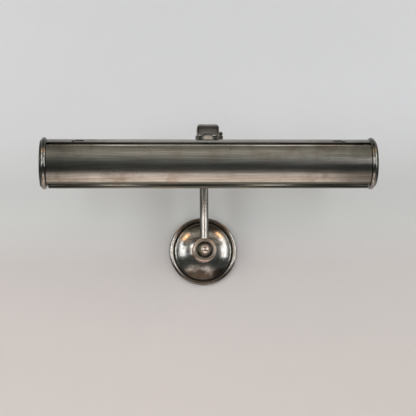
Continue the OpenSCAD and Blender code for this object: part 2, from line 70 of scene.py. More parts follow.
PIVOT = Vector(tilt["pos_m"])
AXIS_Y, AXIS_Z = cap_mid.y, cap_mid.z
SHADE_R = spine_high.z - AXIS_Z
TUBE_HALF = spine_high.x
HALF_LEN = cap_high.x
CAP_IN = cap_low.x
BEAD_OUT = (cap_high.z - cap_low.z) / 2
ROSE_R = rose_high.x
BOSS_R = boss_high.x
BOSS_FRONT = -boss_low.y
BALL_R = ball_high.x
BALL_AT = -ball_low.y - BALL_R
ARM_R = arm_high.x
ARM_Y = arm_high.y - ARM_R
ARM_FOOT = arm_low.z
ARM_END_Y = arm_low.y
ARM_TOP = arm_high.z - ARM_R


# Sizes that the frame doesn't give, as in the CAD model

# Plates of the shade; angles are degrees from the top, and the front counts as positive
SHEET_T = 1.0 * MM
SPINE_FRONT = 38.0
SPINE_BACK = 70.0
VENT_GAP = 5.1 * MM
SHADE_UPPER = SPINE_FRONT + math.degrees(VENT_GAP / SHADE_R)
SHADE_LOWER = 164.0
SLOT_OUT = HALF_LEN - 37.0 * MM
SLOT_LEN = 10.0 * MM
SLOT_W = 3.0 * MM
SLOT_ANGLE = 29.0
# Rolled lip and wired hem: radius, and how far each stands proud of the sheet
LIP_R = 1.2 * MM
LIP_PROUD = 0.25 * MM
HEM_R = 3.0 * MM
HEM_PROUD = 2.6 * MM
HEM_SHORT = 1.6 * MM
# End caps
BEAD_R = 2.9 * MM
DRUM_STEP = 2.6 * MM
CAP_DOME = 1.5 * MM
CAP_WALL = 1.4 * MM
CAP_FIT = 0.05 * MM
# Arm
ARM_WALL = 1.0 * MM
ARM_TAIL = 4.15 * MM
# Rose
DOME_R = 31.0 * MM
DOME_EDGE = 3.0 * MM
DOME_CROWN = 14.8 * MM
ROSE_WALL = 1.2 * MM
RIM_BEAD = 2.4 * MM
STEP_BEAD = 1.2 * MM
# Boss and ball screw
NIPPLE_R = 5.05 * MM
BOSS_ROUND = 3.0 * MM
GROOVE_RING = 8.0 * MM
GROOVE_R = 1.3 * MM
NECK_R = 3.2 * MM
STEM_LEN = 3.0 * MM

# Small forms of the scene alone

# Share of a rolled edge's radius by which its ends are eased
ROD_EASE = 0.3
# Round edge and waist of a cap's drum, and the waist's place as a share of the bead's radius
CAP_EDGE = 1.4 * MM
CAP_WAIST = 0.5 * MM
WAIST_AT = 0.90
# Underside of the boss: its distance from the wall, lift off the dome, rise towards the nipple,
# chamfer across and along
BOSS_SEAT = 13.0 * MM
SEAT_LIFT = 0.1 * MM
SEAT_RISE = 1.7 * MM
SEAT_CUT = 0.8 * MM
SEAT_CUT_H = 0.6 * MM
# Fine groove round the boss: from and to, above the seat, then the length of its slopes and
# its depth
RING_FROM = 4.0 * MM
RING_TO = 6.0 * MM
RING_SLOPE = 0.6 * MM
RING_DEPTH = 0.5 * MM
# Collar behind the ball: its section, place above the boss's face and overhang past the neck
COLLAR_R = 0.6 * MM
COLLAR_AT = 0.7 * MM
COLLAR_OUT = 0.5 * MM
STEM_FIT = 0.1 * MM
STEM_OUT = 0.2 * MM
# Share of the neck's radius at which the ball starts
BALL_START = 0.9
# The arm's tube ends inside the boss, this far above the ring groove
FOOT_CLEAR = 0.3 * MM
SHEET_BEVEL = 0.25 * MM
KNUCKLE_BEVEL = 0.3 * MM

# The camera, solved from where the rose, the shade's ends and the knuckle lie in the photograph
PHOTO_SIDE = 416
CAM_AT = Vector((-0.0839, -1.4146, -0.0932))
CAM_YAW = 0.0635
CAM_PITCH = 0.1004
CAM_ROLL = -0.0081
CAM_FOCAL_PX = 1252.9
SENSOR = 36.0


# Mesh helpers

def make_object(name, bm, materials):
    """Turns a bmesh into an object with its materials."""
    mesh = bpy.data.meshes.new(name)
    bm.to_mesh(mesh)
    bm.free()
    for material in materials:
        mesh.materials.append(material)
    made = bpy.data.objects.new(name, mesh)
    bpy.context.scene.collection.objects.link(made)
    return made


def shade_smooth(piece, sharp=35.0):
    """Shades a mesh smooth, apart from edges that are sharper than an angle in degrees."""
    for face in piece.data.polygons:
        face.use_smooth = True
    piece.data.set_sharp_from_angle(angle=math.radians(sharp))


def add_piece(name, bm, materials, body, node, sharp=35.0):
    """Makes a smooth piece that rides on a body and stands for a CAD node."""
    bmesh.ops.recalc_face_normals(bm, faces=bm.faces)
    piece = make_object(name, bm, materials)
    shade_smooth(piece, sharp)
    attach(piece, body)
    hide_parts(node)
    return piece


def arc(centre, radius, start, end, steps):
    """Points on a circle from one angle to another, in degrees."""
    points = []
    for i in range(steps + 1):
        a = math.radians(start + (end - start) * i / steps)
        points.append((centre[0] + radius * math.cos(a), centre[1] + radius * math.sin(a)))
    return points


def lathe(outline, place, segments=144, closed=True):
    """Revolves (radius, height) points about local Z and returns the bmesh, put in place."""
    on_axis = 1e-7
    bm = bmesh.new()
    rings = []
    for r, h in outline:
        if r < on_axis:
            rings.append([bm.verts.new(place @ Vector((0, 0, h)))])
            continue
        ring = []
        for i in range(segments):
            a = 2 * math.pi * i / segments
            ring.append(bm.verts.new(place @ Vector((r * math.cos(a), r * math.sin(a), h))))
        rings.append(ring)
    pairs = list(zip(rings, rings[1:]))
    if closed:
        pairs.append((rings[-1], rings[0]))
    for low, high in pairs:
        if len(low) == 1 and len(high) == 1:
            continue
        for i in range(segments):
            j = (i + 1) % segments
            corners = [low[i % len(low)], low[j % len(low)]]
            corners += [high[j % len(high)], high[i % len(high)]]
            bm.faces.new(list(dict.fromkeys(corners)))
    return bm


def prism(outline, place, length):
    """Extrudes a closed (u, v) outline along local Z, both ends closed, and returns the bmesh."""
    bm = bmesh.new()
    near = [bm.verts.new(place @ Vector((u, v, 0))) for u, v in outline]
    far = [bm.verts.new(place @ Vector((u, v, length))) for u, v in outline]
    count = len(outline)
    for i in range(count):
        j = (i + 1) % count
        bm.faces.new((near[i], near[j], far[j], far[i]))
    bm.faces.new(near)
    bm.faces.new(far)
    return bm


def bevel(piece, width, segments=3, angle=40.0):
    """Rounds a piece's sharp edges."""
    mod = piece.modifiers.new("edges", "BEVEL")
    mod.width = width
    mod.segments = segments
    mod.limit_method = "ANGLE"
    mod.angle_limit = math.radians(angle)
    mod.harden_normals = True


# Places: local Z along the wall's normal and along the shade
FROM_WALL = Matrix.Rotation(math.radians(90), 4, "X")
TO_X = Matrix.Rotation(math.radians(90), 4, "Y")
ALONG_SHADE = Matrix.Translation((0, AXIS_Y, AXIS_Z)) @ TO_X
MIRROR_X = Matrix.Scale(-1, 4, (1, 0, 0))


def shade_point(angle, radius):
    """(y, z) of a point round the shade; the angle counts from the top towards the front."""
    a = math.radians(angle)
    return AXIS_Y - radius * math.sin(a), AXIS_Z + radius * math.cos(a)


# Materials

BUMP_DEPTH = 0.3 * MM
# Noise scales, in waves per metre
BROAD_STREAKS = 260.0
FINE_STREAKS = 900.0
PATINA_CLOUDS = 38.0
STAIN_SPOTS = 210.0
PLAIN_SPECKS = 320.0
WALL_MOTTLE = 30.0
# Directions of the grain: even, or drawn out along an axis
EVEN = (1, 1, 1)
ALONG_X = (0.03, 1, 1)
ALONG_Z = (1, 1, 0.05)
# Tones of the plate, its patina and its stains
NICKEL = (0.540, 0.515, 0.475)
SMOKE = (0.330, 0.310, 0.275)
BROWN = (0.230, 0.165, 0.115)
STAIN = (0.085, 0.062, 0.045)
# Dark tone of the fades: tarnish on the shade, and painted shade on the arm's sides and the lug's
# top
TARNISH_AND_SHADE = (0.045, 0.044, 0.032)
DISH_BROWN = (0.06, 0.046, 0.032)
RIM_BROWN = (0.11, 0.062, 0.04)


class Nodes:
    """Short way to add and join the nodes of one material or world."""

    def __init__(self, owner):
        owner.use_nodes = True
        self.tree = owner.node_tree

    def add(self, kind, **values):
        """Adds a node; a value sets its property of that name, or else its input."""
        node = self.tree.nodes.new(kind)
        for key, value in values.items():
            if hasattr(node, key):
                setattr(node, key, value)
            else:
                node.inputs[key.replace("_", " ")].default_value = value
        return node

    def link(self, source, target):
        self.tree.links.new(source, target)

    def ramp(self, value, *stops):
        """Colours or greys along a value."""
        node = self.add("ShaderNodeValToRGB")
        while len(node.color_ramp.elements) < len(stops):
            node.color_ramp.elements.new(0.5)
        for element, (at, colour) in zip(node.color_ramp.elements, stops):
            element.position = at
            element.color = (*colour, 1) if len(colour) == 3 else (colour[0],) * 3 + (1,)
        self.link(value, node.inputs["Fac"])
        return node.outputs["Color"]

    def along(self, vector, axis):
        """One coordinate of a vector."""
        split = self.add("ShaderNodeSeparateXYZ")
        self.link(vector, split.inputs["Vector"])
        return split.outputs[axis]


# Where a piece darkens: along an axis or both ways from the middle, from start to end, with a
# ragged edge, up to the share that is called most
Fade = namedtuple("Fade", "axis both_ways ragged start end most")


class Finish(Nodes):
    """The nodes of one new material."""

    def __init__(self, name):
        self.material = bpy.data.materials.new(name)
        super().__init__(self.material)
        self.shader = self.tree.nodes["Principled BSDF"]
        self.output = self.tree.nodes["Material Output"]

    def coords(self, scale):
        """Object coordinates, stretched by a scale."""
        place = self.add("ShaderNodeTexCoord")
        mapping = self.add("ShaderNodeMapping")
        mapping.inputs["Scale"].default_value = scale
        self.link(place.outputs["Object"], mapping.inputs["Vector"])
        return mapping.outputs["Vector"]

    def noise(self, vector, scale, detail=4.0, rough=0.6, distortion=0.0):
        node = self.add("ShaderNodeTexNoise", Scale=scale, Detail=detail, Roughness=rough)
        node.inputs["Distortion"].default_value = distortion
        self.link(vector, node.inputs["Vector"])
        return node.outputs["Fac"]

    def mix(self, factor, a, b, blend="MIX"):
        node = self.add("ShaderNodeMix", data_type="RGBA", blend_type=blend)
        for value, socket in ((factor, node.inputs[0]), (a, node.inputs[6]), (b, node.inputs[7])):
            if isinstance(value, bpy.types.NodeSocket):
                self.link(value, socket)
            else:
                socket.default_value = value if isinstance(value, float) else (*value, 1)
        return node.outputs[2]

    def darkness(self, vector, clouds, fade):
        """How dark a piece is by its place, as a fade says."""
        out = self.add("ShaderNodeMath", operation="ABSOLUTE" if fade.both_ways else "ADD")
        out.inputs[1].default_value = 0.0
        self.link(self.along(vector, fade.axis), out.inputs[0])
        shift = self.add("ShaderNodeMath", operation="MULTIPLY_ADD")
        shift.inputs[1].default_value = fade.ragged
        self.link(clouds, shift.inputs[0])
        self.link(out.outputs["Value"], shift.inputs[2])
        reach = self.add("ShaderNodeMapRange", interpolation_type="SMOOTHSTEP", To_Max=fade.most)
        reach.inputs["From Min"].default_value = fade.start + fade.ragged / 2
        reach.inputs["From Max"].default_value = fade.end + fade.ragged / 2
        self.link(shift.outputs["Value"], reach.inputs["Value"])
        return reach.outputs["Result"]

    def roughness(self, value, least, most):
        """Spreads the roughness between two bounds along a value."""
        spread = self.add("ShaderNodeMapRange", To_Min=least, To_Max=most)
        self.link(value, spread.inputs["Value"])
        self.link(spread.outputs["Result"], self.shader.inputs["Roughness"])

    def bump(self, height, strength):
        node = self.add("ShaderNodeBump", Strength=strength, Distance=BUMP_DEPTH)
        self.link(height, node.inputs["Height"])
        self.link(node.outputs["Normal"], self.shader.inputs["Normal"])


def aged_nickel(name, grain, bright=NICKEL, smoke=SMOKE, rough=(0.16, 0.34), stain_at=0.62,
                dark=None, dark_tone=TARNISH_AND_SHADE, metallic=1.0):
    """Old nickel plate: smoky and brown patina in streaks along the grain, dull where stained, and
    darker where a fade says: tarnish on some pieces, painted shade on others.
    """
    m = Finish(name)
    even = m.coords(EVEN)
    broad = m.noise(m.coords(grain), BROAD_STREAKS, detail=6.0, rough=0.65)
    fine = m.noise(m.coords(grain), FINE_STREAKS, detail=3.0)
    streaks = m.mix(0.45, broad, fine)
    clouds = m.noise(even, PATINA_CLOUDS, detail=5.0, rough=0.62, distortion=0.4)
    spots = m.noise(even, STAIN_SPOTS, detail=8.0, rough=0.7)
    tone = m.ramp(streaks, (0.38, smoke), (0.60, bright))
    patina = m.ramp(clouds, (0.48, (0.0,)), (0.78, (0.60,)))
    tone = m.mix(patina, tone, BROWN)
    stain = m.ramp(spots, (stain_at, (0.0,)), (stain_at + 0.14, (0.75,)))
    tone = m.mix(stain, tone, STAIN)
    if dark:
        tone = m.mix(m.darkness(even, clouds, dark), tone, dark_tone)
    m.link(tone, m.shader.inputs["Base Color"])
    m.roughness(m.mix(0.5, patina, streaks), *rough)
    m.shader.inputs["Metallic"].default_value = metallic
    m.bump(streaks, 0.10)
    return m.material


def plain_finish(name, colour, metallic, roughness, contrast=0.8, bump=0.05):
    """A plain part: its colour with faint mottling and a fine bump."""
    m = Finish(name)
    speck = m.noise(m.coords(EVEN), PLAIN_SPECKS, detail=5.0)
    dark = tuple(c * contrast for c in colour)
    m.link(m.ramp(speck, (0.35, dark), (0.65, colour)), m.shader.inputs["Base Color"])
    m.roughness(speck, roughness * 0.8, roughness * 1.2)
    m.shader.inputs["Metallic"].default_value = metallic
    m.bump(speck, bump)
    return m.material


END_DARK = Fade("X", True, 120 * MM, TUBE_HALF * 0.50, TUBE_HALF * 1.05, 0.50)
LIP_DARK = Fade("X", True, 60 * MM, TUBE_HALF * 0.50, TUBE_HALF * 0.95, 0.95)
# The caps darken towards their top
CAP_DARK = Fade("Z", False, 14 * MM, AXIS_Z + 4 * MM, AXIS_Z + 19 * MM, 0.85)
# The dome and the rim darken towards their top and bottom, and keep their sides
DISH_DARK = Fade("Z", True, 30 * MM, 18 * MM, 25 * MM, 0.92)
RIM_DARK = Fade("Z", True, 16 * MM, 12 * MM, 27 * MM, 0.70)
# The lug darkens from just above the pivot up into the hood: painted shade under the hood
LUG_HOOD_SHADE = Fade("Z", False, 2 * MM, PIVOT.z + 0.5 * MM, PIVOT.z + 3.5 * MM, 0.72)
# The arm's tube is near-black along both sides and keeps its middle: painted shade over the side
# lights' reflections
ARM_SIDE_SHADE = Fade("X", True, 1.5 * MM, ARM_R * 0.25, ARM_R * 0.8, 0.9)

# Finishes of the shade
shade_metal = aged_nickel("shade_nickel", ALONG_X, dark=END_DARK)
spine_metal = aged_nickel("spine_nickel", ALONG_X, (0.40, 0.38, 0.345), (0.26, 0.25, 0.22),
                          dark=END_DARK)
lip_metal = aged_nickel("worn_lip", ALONG_X, (0.90, 0.88, 0.84), (0.66, 0.64, 0.60),
                        rough=(0.26, 0.40), stain_at=0.75, dark=LIP_DARK)
hem_metal = aged_nickel("tarnished_hem", ALONG_X, (0.22, 0.215, 0.185), (0.11, 0.105, 0.09),
                        dark=END_DARK)
# Near-black finish of grooves, creases and edges: tarnish in the hollows and painted shade
black_tarnish_and_shade = aged_nickel("blackened_nickel_and_painted_shade", ALONG_X, (0.135, 0.128, 0.112), (0.045, 0.042, 0.038),
                          dark=END_DARK)
cap_metal = aged_nickel("cap_nickel", EVEN, (0.46, 0.44, 0.40), (0.16, 0.15, 0.13),
                        rough=(0.12, 0.26), dark=CAP_DARK)

# Finishes of the rose, the boss and the arm
dish_metal = aged_nickel("dish_nickel", EVEN, (0.59, 0.575, 0.55), (0.33, 0.29, 0.245),
                         rough=(0.16, 0.29), stain_at=0.57, dark=DISH_DARK, dark_tone=DISH_BROWN)
rim_metal = aged_nickel("worn_rim", EVEN, (0.80, 0.77, 0.73), (0.52, 0.48, 0.43),
                        rough=(0.16, 0.30), dark=RIM_DARK, dark_tone=RIM_BROWN)
boss_metal = aged_nickel("worn_boss", EVEN, (0.66, 0.54, 0.44), (0.42, 0.33, 0.26),
                         rough=(0.30, 0.45))
brown_metal = aged_nickel("brown_boss", EVEN, (0.40, 0.325, 0.255), (0.24, 0.19, 0.15),
                          rough=(0.30, 0.45))
turned_metal = aged_nickel("turned_nickel", EVEN, (0.92, 0.80, 0.70), (0.68, 0.58, 0.50),
                           rough=(0.20, 0.34))
arm_metal = aged_nickel("arm_nickel", ALONG_Z, (0.88, 0.83, 0.77), (0.62, 0.57, 0.51),
                        dark=ARM_SIDE_SHADE, metallic=0.8)

# Finishes of the knuckle
knuckle_metal = aged_nickel("knuckle_nickel", EVEN, (0.20, 0.19, 0.17), (0.09, 0.085, 0.075),
                            rough=(0.24, 0.40))
hood_metal = aged_nickel("dusty_hood", EVEN, (0.40, 0.38, 0.345), (0.26, 0.25, 0.225),
                         rough=(0.3, 0.5), metallic=0.7)
# Pale, nearly matt web of the hood: painted light that lifts it out of the shade under the hood
web_painted_light = aged_nickel("matt_web_painted_light", EVEN, (0.80, 0.775, 0.71), (0.66, 0.635, 0.58),
                        rough=(0.3, 0.5), metallic=0.1)
# Worn lug, with painted shade towards its top
lug_metal = aged_nickel("worn_lug_hood_shade", EVEN, (0.66, 0.64, 0.60), (0.46, 0.44, 0.40),
                        rough=(0.3, 0.45), dark=LUG_HOOD_SHADE, metallic=0.6)

# Finishes of the inside and the hidden parts
# The inside of the shade is near-black: painted shade for the dark inside of the tube
inside_painted_shade = plain_finish("near_black_inside_shade", (0.045, 0.040, 0.032), 0.6, 0.6)
steel = plain_finish("zinc_steel", (0.58, 0.59, 0.60), 1.0, 0.38)
brass = plain_finish("plain_brass", (0.72, 0.56, 0.30), 1.0, 0.32)
rubber = plain_finish("black_rubber", (0.03, 0.03, 0.03), 0.0, 0.7)
plastic = plain_finish("ivory_plastic", (0.82, 0.78, 0.68), 0.0, 0.5, contrast=0.93)
ceramic = plain_finish("white_ceramic", (0.86, 0.85, 0.81), 0.0, 0.22, contrast=0.96)
opal = plain_finish("opal_glass", (0.92, 0.90, 0.85), 0.0, 0.12, contrast=0.98, bump=0.01)


# Pieces of the shade

# Mesh of the spine: degrees round the shade and length along it
SPINE_ANGLE_STEP = 1.6
SPINE_STEP = 8.0 * MM
# Below this angle the front sheet is tarnished
TARNISH_FROM = 147.0
# Stretch of a cap's bead that is worn bright, along the shade from the tube's end, in bead radii;
# the rest of the cap, the crease by the tube and the drum, is near-black: tarnish and painted shade
WORN_FROM, WORN_TO = 0.4, 1.5


def facing_out(face):
    """How far a face of the shade's sheet looks away from the shade's axis."""
    away = face.center - Vector((face.center.x, AXIS_Y, AXIS_Z))
    return face.normal.dot(away.normalized())


def sheet_outline():
    """Cross-section of the front shade's plain sheet, as (y, z) points."""
    steps = 96
    angles = [SHADE_UPPER + (SHADE_LOWER - SHADE_UPPER) * i / steps for i in range(steps + 1)]
    outer = [shade_point(a, SHADE_R) for a in angles]
    inner = [shade_point(a, SHADE_R - SHEET_T) for a in reversed(angles)]
    return outer + inner


def rolled_edge(angle, section, proud, half):
    """A round rod along the shade with eased ends, proud of the sheet at one angle."""
    y, z = shade_point(angle, SHADE_R + proud - section)
    place = Matrix.Translation((0, y, z)) @ TO_X
    ease = section * ROD_EASE
    points = [(0, -half), (section - ease, -half), (section, -half + ease)]
    points += [(section, half - ease), (section - ease, half), (0, half)]
    return lathe(points, place, segments=40, closed=False)


def front_shade():
    """The front sheet with its rolled lip, and the tarnished wired hem along its lower edge."""
    along_x = Matrix(((0, 0, 1, -TUBE_HALF), (1, 0, 0, 0), (0, 1, 0, 0), (0, 0, 0, 1)))
    bm = prism(sheet_outline(), along_x, 2 * TUBE_HALF)
    finishes = (shade_metal, inside_painted_shade, hem_metal)
    sheet = add_piece("shade_front_sheet", bm, finishes, "shade", "front_shade")
    tarnish_z = shade_point(TARNISH_FROM, SHADE_R)[1]
    # Faces that look inwards take the near-black inside finish, which is painted shade
    for face in sheet.data.polygons:
        outside = hem_metal if face.center.z < tarnish_z else shade_metal
        face.material_index = finishes.index(outside if facing_out(face) > 0 else inside_painted_shade)
    lip = rolled_edge(SHADE_UPPER, LIP_R, LIP_PROUD, TUBE_HALF)
    add_piece("shade_rolled_lip", lip, (lip_metal,), "shade", "front_shade", sharp=50)
    hem = rolled_edge(SHADE_LOWER, HEM_R, HEM_PROUD, TUBE_HALF - HEM_SHORT)
    add_piece("shade_wired_hem", hem, (hem_metal,), "shade", "front_shade", sharp=50)


def spread(low, high, step, marks):
    """Stations from low to high, about a step apart, with the marks and nothing close to them."""
    digits = 7
    close = step * 0.3
    count = max(1, round((high - low) / step))
    stations = {round(low + (high - low) * i / count, digits) for i in range(count + 1)}
    near = {s for s in stations for mark in marks if abs(s - mark) < close and low < s < high}
    return sorted((stations - near) | {round(mark, digits) for mark in marks})


def shade_spine():
    """The top and back strip, with its two tab slots cut out, given its thickness inwards."""
    half_slot = math.degrees(SLOT_W / SHADE_R) / 2
    slot_edges = (SLOT_ANGLE - half_slot, SLOT_ANGLE + half_slot)
    slot_ends = (-SLOT_OUT, -SLOT_OUT + SLOT_LEN, SLOT_OUT - SLOT_LEN, SLOT_OUT)
    angles = spread(-SPINE_BACK, SPINE_FRONT, SPINE_ANGLE_STEP, slot_edges)
    stations = spread(-TUBE_HALF, TUBE_HALF, SPINE_STEP, slot_ends)
    bm = bmesh.new()
    grid = [[bm.verts.new((x, *shade_point(a, SHADE_R))) for a in angles] for x in stations]
    for i in range(len(stations) - 1):
        x = (stations[i] + stations[i + 1]) / 2
        in_slot = SLOT_OUT - SLOT_LEN < abs(x) < SLOT_OUT
        for j in range(len(angles) - 1):
            a = (angles[j] + angles[j + 1]) / 2
            if in_slot and slot_edges[0] < a < slot_edges[1]:
                continue
            bm.faces.new((grid[i][j], grid[i + 1][j], grid[i + 1][j + 1], grid[i][j + 1]))
    spine = add_piece("shade_top_spine", bm, (spine_metal, inside_painted_shade), "shade", "shade_spine")
    thick = spine.modifiers.new("sheet", "SOLIDIFY")
    thick.thickness = SHEET_T
    thick.offset = -1.0 if facing_out(spine.data.polygons[0]) > 0 else 1.0
    # The inner skin takes the near-black inside finish, which is painted shade
    thick.material_offset = 1
    bevel(spine, SHEET_BEVEL, segments=2)


def cap_outline():
    """Half section of the right-hand cap: spigot, bead, waist, round-edged drum, shallow dome."""
    spigot_r = SHADE_R - SHEET_T - CAP_FIT
    inner = spigot_r - CAP_WALL
    bead_ring = BEAD_OUT - BEAD_R
    bead_at = TUBE_HALF + BEAD_R + CAP_FIT
    drum_r = BEAD_OUT - DRUM_STEP
    dome_r = drum_r - CAP_EDGE
    dome_from = HALF_LEN - CAP_DOME
    sphere = (dome_r ** 2 + CAP_DOME ** 2) / (2 * CAP_DOME)
    rings = 10
    floor = dome_from - CAP_WALL
    points = [(0, floor), (inner, floor), (inner, CAP_IN), (spigot_r, CAP_IN)]
    points += arc((bead_ring, bead_at), BEAD_R, 250, 415, 28)
    points.append((drum_r - CAP_WAIST, bead_at + BEAD_R * WAIST_AT))
    points += arc((dome_r, dome_from - CAP_EDGE), CAP_EDGE, 0, 80, 10)
    for i in range(rings - 1, -1, -1):
        r = dome_r * i / rings
        points.append((r, HALF_LEN - sphere + math.sqrt(sphere ** 2 - r * r)))
    return points


def end_caps():
    finishes = (cap_metal, black_tarnish_and_shade)
    for side, mirror in (("right", Matrix.Identity(4)), ("left", MIRROR_X)):
        bm = lathe(cap_outline(), mirror @ ALONG_SHADE, closed=False)
        cap = add_piece(f"cap_{side}", bm, finishes, "shade", f"end_cap_{side}", sharp=50)
        for face in cap.data.polygons:
            along_bead = (abs(face.center.x) - TUBE_HALF) / BEAD_R
            worn = WORN_FROM < along_bead < WORN_TO
            face.material_index = finishes.index(cap_metal if worn else black_tarnish_and_shade)


# Pieces of the arm and the rose

# Black band of the rose's groove, tarnish and painted shade: where it starts past the dome, in step
# beads, and how far it laps onto the rim's bead; then the width of the black outer edge, painted
# shade where the rose meets the wall
GROOVE_STEP = 1.1
GROOVE_LAP = 0.6 * MM
BLACK_EDGE = 0.8 * MM
# The hollow behind the dome ends this far inside the dome's own wall
HOLLOW_LEDGE = 1.0 * MM


def from_axis(face):
    """Distance of a face from the axis of the rose."""
    return math.hypot(face.center.x, face.center.z)


def rose_outline():
    """Half section of the rose: convex dome, step, groove, rim bead, and the hollow behind them."""
    rise = DOME_CROWN - DOME_EDGE
    sphere = (DOME_R ** 2 + rise ** 2) / (2 * rise)
    centre = DOME_CROWN - sphere

    def dome(r, drop=0.0):
        return centre + math.sqrt((sphere - drop) ** 2 - r * r)

    steps = 40
    outer = [NIPPLE_R + (DOME_R - NIPPLE_R) * i / steps for i in range(steps + 1)]
    points = [(r, dome(r)) for r in outer]
    points += arc((DOME_R, DOME_EDGE - RIM_BEAD / 2), STEP_BEAD, 70, 20, 8)
    points += arc((ROSE_R - RIM_BEAD, RIM_BEAD), RIM_BEAD, 185, -90, 30)
    inner_r = DOME_R - ROSE_WALL
    points.append((inner_r, 0))
    points += [(r, dome(r, ROSE_WALL)) for r in reversed(outer) if r < inner_r - HOLLOW_LEDGE]
    return points


def rose():
    finishes = (dish_metal, black_tarnish_and_shade, rim_metal)
    bm = lathe(rose_outline(), FROM_WALL, segments=192)
    dish = add_piece("rose_dish", bm, finishes, "arm", "rose", sharp=50)
    groove_in = DOME_R + GROOVE_STEP * STEP_BEAD
    groove_out = ROSE_R - 2 * RIM_BEAD + GROOVE_LAP
    for face in dish.data.polygons:
        radius = from_axis(face)
        finish = rim_metal if radius > DOME_R else dish_metal
        if groove_in < radius < groove_out or radius > ROSE_R - BLACK_EDGE:
            finish = black_tarnish_and_shade
        face.material_index = finishes.index(finish)


def boss_outline():
    """Half section of the boss: seat, fine groove, round shoulder and ring groove in its face."""
    face = BOSS_FRONT
    ring_r = BOSS_R - RING_DEPTH
    ring_low, ring_high = BOSS_SEAT + RING_FROM, BOSS_SEAT + RING_TO
    seat = BOSS_SEAT + SEAT_LIFT
    points = [(NIPPLE_R, BOSS_SEAT + SEAT_RISE), (BOSS_R - SEAT_CUT, seat)]
    points += [(BOSS_R, seat + SEAT_CUT_H), (BOSS_R, ring_low), (ring_r, ring_low + RING_SLOPE)]
    points += [(ring_r, ring_high - RING_SLOPE), (BOSS_R, ring_high)]
    points += arc((BOSS_R - BOSS_ROUND, face - BOSS_ROUND), BOSS_ROUND, 0, 90, 14)
    points += arc((GROOVE_RING, face), GROOVE_R, 0, -180, 14)
    points += [(NECK_R, face), (NECK_R, face - STEM_LEN), (NIPPLE_R, face - STEM_LEN)]
    return points


def boss():
    finishes = (boss_metal, black_tarnish_and_shade, brown_metal)
    bm = lathe(boss_outline(), FROM_WALL)
    drum = add_piece("boss_drum", bm, finishes, "arm", "boss", sharp=40)
    for face in drum.data.polygons:
        radius = from_axis(face)
        finish = brown_metal if radius < GROOVE_RING else boss_metal
        # The ring groove in the face is near-black: tarnish and painted shade
        if abs(radius - GROOVE_RING) < GROOVE_R:
            finish = black_tarnish_and_shade
        face.material_index = finishes.index(finish)


def ball_finial():
    """The ball screw: its stem in the boss, a thin collar and the ball."""
    face = BOSS_FRONT
    stem_r = NECK_R - STEM_FIT
    points = [(0, face - STEM_LEN), (stem_r, face - STEM_LEN), (stem_r, face + STEM_OUT)]
    points += arc((NECK_R + COLLAR_OUT, face + COLLAR_AT), COLLAR_R, -90, 90, 8)
    start = -math.degrees(math.acos(NECK_R * BALL_START / BALL_R))
    points += arc((0, BALL_AT), BALL_R, start, 90, 40)
    points[-1] = (0, points[-1][1])
    bm = lathe(points, FROM_WALL, segments=96, closed=False)
    add_piece("ball_screw", bm, (turned_metal,), "arm", "ball_finial", sharp=45)


def arm_path():
    """Middle line of the arm as (point, direction) pairs: upright, quarter bend, then level."""
    bend_end = ARM_END_Y + ARM_TAIL
    bend_r = ARM_Y - bend_end
    bend_z = ARM_TOP - bend_r
    foot = max(ARM_FOOT, GROOVE_RING + GROOVE_R + FOOT_CLEAR)
    path = [(Vector((0, ARM_Y, foot)), Vector((0, 0, 1)))]
    steps = 48
    for i in range(steps + 1):
        a = math.pi / 2 * i / steps
        spot = Vector((0, bend_end + bend_r * math.cos(a), bend_z + bend_r * math.sin(a)))
        path.append((spot, Vector((0, -math.sin(a), math.cos(a)))))
    path.append((Vector((0, ARM_END_Y, ARM_TOP)), Vector((0, -1, 0))))
    return path


def join_rings(bm, low, high):
    """Faces between two rings of as many points."""
    for i in range(len(low)):
        j = (i + 1) % len(low)
        bm.faces.new((low[i], low[j], high[j], high[i]))


def arm_tube():
    """The bent tube: an outer and an inner skin, closed at both ends."""
    sides = 56
    across = Vector((1, 0, 0))
    bm = bmesh.new()
    skins = []
    for radius in (ARM_R, ARM_R - ARM_WALL):
        rings = []
        for spot, ahead in arm_path():
            up = ahead.cross(across)
            turns = [2 * math.pi * i / sides for i in range(sides)]
            points = [spot + radius * (math.cos(a) * across + math.sin(a) * up) for a in turns]
            rings.append([bm.verts.new(point) for point in points])
        for low, high in zip(rings, rings[1:]):
            join_rings(bm, low, high)
        skins.append(rings)
    outer, inner = skins
    for end in (0, -1):
        join_rings(bm, outer[end], inner[end])
    add_piece("arm_bent_tube", bm, (arm_metal,), "arm", "arm_tube", sharp=50)


# The CAD nodes that stay as they are get their finish here

KEPT_FINISHES = {
    "arm_collar": turned_metal, "knuckle_lug": lug_metal, "knuckle_hood": hood_metal,
    "pivot_screw": knuckle_metal, "wing_nut": knuckle_metal, "knuckle_bushes": knuckle_metal,
    "back_plate": steel, "nipple": steel, "nipple_nut": steel, "lug_screw": steel,
    "bracket_left": steel, "bracket_right": steel, "earth_screw": brass, "lamp_cap_left": brass,
    "lamp_cap_right": brass, "cable_grommet": rubber, "spine_grommet": rubber, "arm_flex": rubber,
    "supply_terminal": plastic, "shade_terminal": plastic, "lead_left": plastic,
    "lead_right": plastic, "holder_left": ceramic, "holder_right": ceramic,
    "lamp_glass_left": opal, "lamp_glass_right": opal,
}
# Height above the pivot up to which the front edges of the hood's cheeks are black
CHEEK_TOP = 11.0 * MM
# A face whose normal has less than this along Y looks to the front
LOOKS_FRONT = -0.9


def finish_kept_nodes():
    for name, material in KEPT_FINISHES.items():
        node = nodes[name]
        node.data.materials.clear()
        node.data.materials.append(material)
        shade_smooth(node)
    for name in ("knuckle_hood", "wing_nut", "pivot_screw"):
        bevel(nodes[name], KNUCKLE_BEVEL)


